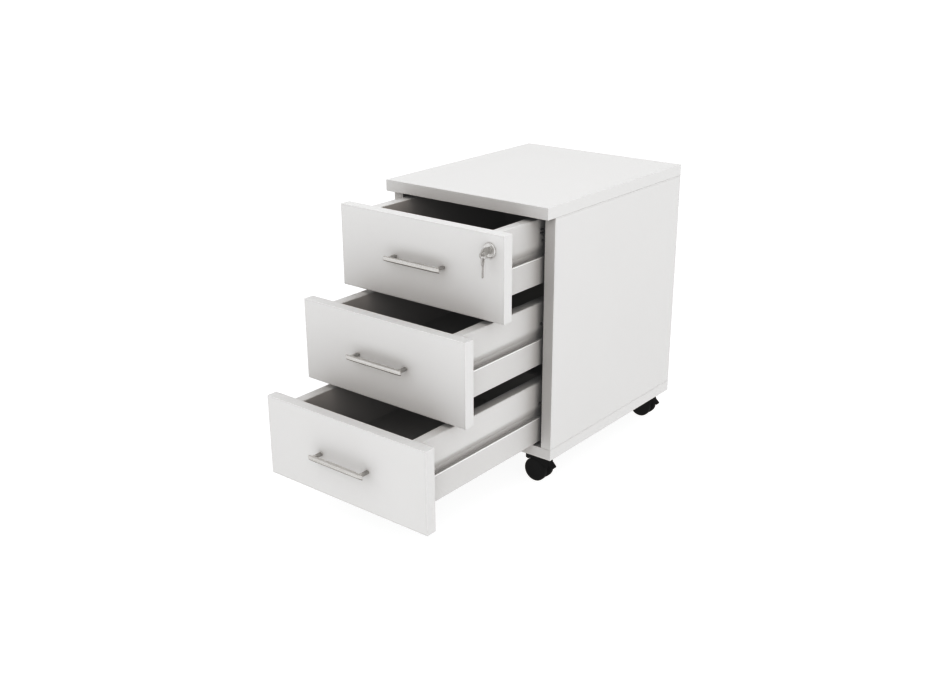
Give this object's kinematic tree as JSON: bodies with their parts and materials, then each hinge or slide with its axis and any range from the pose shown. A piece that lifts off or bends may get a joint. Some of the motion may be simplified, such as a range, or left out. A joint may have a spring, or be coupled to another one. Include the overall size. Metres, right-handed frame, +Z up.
{
  "type": "rolling pedestal cabinet",
  "caption": "White board pedestal on black castors with drawers that slide forward, satin bar handles and a keyed lock on the upper drawer front.",
  "frame": {"origin": "on the floor, under the centre of the overall outline with the drawers standing open as modelled", "axes": "+Z up, +X to the right as seen from the front, -Y is the front, the way the drawers open"},
  "size_m": [0.43, 0.9326, 0.623],
  "materials": {
    "board_white": "white melamine-faced board, fine satin texture, edge-banded",
    "drawer_steel_white": "white powder coat, satin",
    "drawer_board_grey": "warm grey melamine board, matt",
    "runner_zinc": "bright zinc plate",
    "handle_nickel": "satin nickel",
    "lock_nickel": "nickel plate",
    "steel_black": "black coated steel",
    "wheel_black": "black nylon wheel with a smooth tread",
    "nylon_black": "black nylon, fine moulded texture"
  },
  "bodies": {
    "root": {"top_panel": "board_white", "base_panel": "board_white", "left_side_panel": "board_white", "right_side_panel": "board_white", "back_panel": "board_white", "upper_left_cabinet_rail": "runner_zinc", "upper_right_cabinet_rail": "runner_zinc", "middle_left_cabinet_rail": "runner_zinc", "middle_right_cabinet_rail": "runner_zinc", "lower_left_cabinet_rail": "runner_zinc", "lower_right_cabinet_rail": "runner_zinc", "front_left_castor_plate": "steel_black", "front_right_castor_plate": "steel_black", "rear_left_castor_plate": "steel_black", "rear_right_castor_plate": "steel_black"},
    "upper_drawer": {"upper_drawer_front": "board_white", "upper_drawer_left_side": "drawer_steel_white", "upper_drawer_right_side": "drawer_steel_white", "upper_drawer_floor": "drawer_board_grey", "upper_drawer_back": "drawer_board_grey", "upper_drawer_handle": "handle_nickel", "lock_housing": "lock_nickel"},
    "upper_left_extension": {"upper_left_extension_rail": "runner_zinc"},
    "upper_right_extension": {"upper_right_extension_rail": "runner_zinc"},
    "middle_drawer": {"middle_drawer_front": "board_white", "middle_drawer_left_side": "drawer_steel_white", "middle_drawer_right_side": "drawer_steel_white", "middle_drawer_floor": "drawer_board_grey", "middle_drawer_back": "drawer_board_grey", "middle_drawer_handle": "handle_nickel"},
    "middle_left_extension": {"middle_left_extension_rail": "runner_zinc"},
    "middle_right_extension": {"middle_right_extension_rail": "runner_zinc"},
    "lower_drawer": {"lower_drawer_front": "board_white", "lower_drawer_left_side": "drawer_steel_white", "lower_drawer_right_side": "drawer_steel_white", "lower_drawer_floor": "drawer_board_grey", "lower_drawer_back": "drawer_board_grey", "lower_drawer_handle": "handle_nickel"},
    "lower_left_extension": {"lower_left_extension_rail": "runner_zinc"},
    "lower_right_extension": {"lower_right_extension_rail": "runner_zinc"},
    "lock_core": {"lock_core": "lock_nickel"},
    "key": {"key": "lock_nickel"},
    "spare_key": {"spare_key": "lock_nickel"},
    "locking_bar": {"locking_bar": "runner_zinc"},
    "front_left_castor_swivel": {"front_left_castor_hood": "nylon_black"},
    "front_left_castor_wheel_a": {"front_left_castor_wheel_a": "wheel_black"},
    "front_left_castor_wheel_b": {"front_left_castor_wheel_b": "wheel_black"},
    "front_left_castor_brake": {"front_left_castor_brake_lever": "nylon_black"},
    "front_right_castor_swivel": {"front_right_castor_hood": "nylon_black"},
    "front_right_castor_wheel_a": {"front_right_castor_wheel_a": "wheel_black"},
    "front_right_castor_wheel_b": {"front_right_castor_wheel_b": "wheel_black"},
    "front_right_castor_brake": {"front_right_castor_brake_lever": "nylon_black"},
    "rear_left_castor_swivel": {"rear_left_castor_hood": "nylon_black"},
    "rear_left_castor_wheel_a": {"rear_left_castor_wheel_a": "wheel_black"},
    "rear_left_castor_wheel_b": {"rear_left_castor_wheel_b": "wheel_black"},
    "rear_left_castor_brake": {"rear_left_castor_brake_lever": "nylon_black"},
    "rear_right_castor_swivel": {"rear_right_castor_hood": "nylon_black"},
    "rear_right_castor_wheel_a": {"rear_right_castor_wheel_a": "wheel_black"},
    "rear_right_castor_wheel_b": {"rear_right_castor_wheel_b": "wheel_black"},
    "rear_right_castor_brake": {"rear_right_castor_brake_lever": "nylon_black"}
  },
  "joints": [
    {"name": "upper_drawer_slide", "type": "slide", "parent": "root", "child": "upper_drawer", "axis": [0, -1, 0], "range_m": [-0.141, 0.269]},
    {"name": "upper_left_runner_slide", "type": "slide", "parent": "root", "child": "upper_left_extension", "axis": [0, -1, 0], "range_m": [-0.0707, 0.1347]},
    {"name": "upper_right_runner_slide", "type": "slide", "parent": "root", "child": "upper_right_extension", "axis": [0, -1, 0], "range_m": [-0.0707, 0.1347]},
    {"name": "middle_drawer_slide", "type": "slide", "parent": "root", "child": "middle_drawer", "axis": [0, -1, 0], "range_m": [-0.2595, 0.1505]},
    {"name": "middle_left_runner_slide", "type": "slide", "parent": "root", "child": "middle_left_extension", "axis": [0, -1, 0], "range_m": [-0.12995, 0.07545]},
    {"name": "middle_right_runner_slide", "type": "slide", "parent": "root", "child": "middle_right_extension", "axis": [0, -1, 0], "range_m": [-0.12995, 0.07545]},
    {"name": "lower_drawer_slide", "type": "slide", "parent": "root", "child": "lower_drawer", "axis": [0, -1, 0], "range_m": [-0.3765, 0.0335]},
    {"name": "lower_left_runner_slide", "type": "slide", "parent": "root", "child": "lower_left_extension", "axis": [0, -1, 0], "range_m": [-0.18845, 0.01695]},
    {"name": "lower_right_runner_slide", "type": "slide", "parent": "root", "child": "lower_right_extension", "axis": [0, -1, 0], "range_m": [-0.18845, 0.01695]},
    {"name": "lock_turn", "type": "hinge", "parent": "upper_drawer", "child": "lock_core", "pos_m": [0.18, -0.2027, 0.564], "axis": [0, 1, 0], "range_deg": [0, 90]},
    {"name": "key_pull", "type": "slide", "parent": "lock_core", "child": "key", "axis": [0, -1, 0], "range_m": [0, 0.04]},
    {"name": "spare_key_swing", "type": "hinge", "parent": "key", "child": "spare_key", "pos_m": [0.18, -0.2244, 0.564], "axis": [1, 0, 0], "range_deg": [-60, 12]},
    {"name": "locking_bar_drop", "type": "slide", "parent": "root", "child": "locking_bar", "axis": [0, 0, -1], "range_m": [0, 0.0044]},
    {"name": "front_left_castor_swivel", "type": "hinge", "parent": "root", "child": "front_left_castor_swivel", "pos_m": [-0.178, -0.0097, 0.064], "axis": [0, 0, 1], "continuous": true},
    {"name": "front_left_castor_wheel_a_spin", "type": "hinge", "parent": "front_left_castor_swivel", "child": "front_left_castor_wheel_a", "pos_m": [-0.1685, -0.0097, 0.0265], "axis": [0, 1, 0], "continuous": true},
    {"name": "front_left_castor_wheel_b_spin", "type": "hinge", "parent": "front_left_castor_swivel", "child": "front_left_castor_wheel_b", "pos_m": [-0.1685, -0.0097, 0.0265], "axis": [0, 1, 0], "continuous": true},
    {"name": "front_left_castor_brake_press", "type": "hinge", "parent": "front_left_castor_swivel", "child": "front_left_castor_brake", "pos_m": [-0.192, -0.0097, 0.0535], "axis": [0, -1, 0], "range_deg": [0, 15]},
    {"name": "front_right_castor_swivel", "type": "hinge", "parent": "root", "child": "front_right_castor_swivel", "pos_m": [0.178, -0.0097, 0.064], "axis": [0, 0, 1], "continuous": true},
    {"name": "front_right_castor_wheel_a_spin", "type": "hinge", "parent": "front_right_castor_swivel", "child": "front_right_castor_wheel_a", "pos_m": [0.1685, -0.0097, 0.0265], "axis": [0, 1, 0], "continuous": true},
    {"name": "front_right_castor_wheel_b_spin", "type": "hinge", "parent": "front_right_castor_swivel", "child": "front_right_castor_wheel_b", "pos_m": [0.1685, -0.0097, 0.0265], "axis": [0, 1, 0], "continuous": true},
    {"name": "front_right_castor_brake_press", "type": "hinge", "parent": "front_right_castor_swivel", "child": "front_right_castor_brake", "pos_m": [0.192, -0.0097, 0.0535], "axis": [0, 1, 0], "range_deg": [0, 15]},
    {"name": "rear_left_castor_swivel", "type": "hinge", "parent": "root", "child": "rear_left_castor_swivel", "pos_m": [-0.178, 0.4323, 0.064], "axis": [0, 0, 1], "continuous": true},
    {"name": "rear_left_castor_wheel_a_spin", "type": "hinge", "parent": "rear_left_castor_swivel", "child": "rear_left_castor_wheel_a", "pos_m": [-0.1685, 0.4323, 0.0265], "axis": [0, 1, 0], "continuous": true},
    {"name": "rear_left_castor_wheel_b_spin", "type": "hinge", "parent": "rear_left_castor_swivel", "child": "rear_left_castor_wheel_b", "pos_m": [-0.1685, 0.4323, 0.0265], "axis": [0, 1, 0], "continuous": true},
    {"name": "rear_left_castor_brake_press", "type": "hinge", "parent": "rear_left_castor_swivel", "child": "rear_left_castor_brake", "pos_m": [-0.192, 0.4323, 0.0535], "axis": [0, -1, 0], "range_deg": [0, 15]},
    {"name": "rear_right_castor_swivel", "type": "hinge", "parent": "root", "child": "rear_right_castor_swivel", "pos_m": [0.178, 0.4323, 0.064], "axis": [0, 0, 1], "continuous": true},
    {"name": "rear_right_castor_wheel_a_spin", "type": "hinge", "parent": "rear_right_castor_swivel", "child": "rear_right_castor_wheel_a", "pos_m": [0.1685, 0.4323, 0.0265], "axis": [0, 1, 0], "continuous": true},
    {"name": "rear_right_castor_wheel_b_spin", "type": "hinge", "parent": "rear_right_castor_swivel", "child": "rear_right_castor_wheel_b", "pos_m": [0.1685, 0.4323, 0.0265], "axis": [0, 1, 0], "continuous": true},
    {"name": "rear_right_castor_brake_press", "type": "hinge", "parent": "rear_right_castor_swivel", "child": "rear_right_castor_brake", "pos_m": [0.192, 0.4323, 0.0535], "axis": [0, 1, 0], "range_deg": [0, 15]}
  ],
  "couplings": [
    {"joint": "upper_left_runner_slide", "follows": "upper_drawer_slide", "ratio": 0.5},
    {"joint": "upper_right_runner_slide", "follows": "upper_drawer_slide", "ratio": 0.5},
    {"joint": "middle_left_runner_slide", "follows": "middle_drawer_slide", "ratio": 0.5},
    {"joint": "middle_right_runner_slide", "follows": "middle_drawer_slide", "ratio": 0.5},
    {"joint": "lower_left_runner_slide", "follows": "lower_drawer_slide", "ratio": 0.5},
    {"joint": "lower_right_runner_slide", "follows": "lower_drawer_slide", "ratio": 0.5}
  ]
}
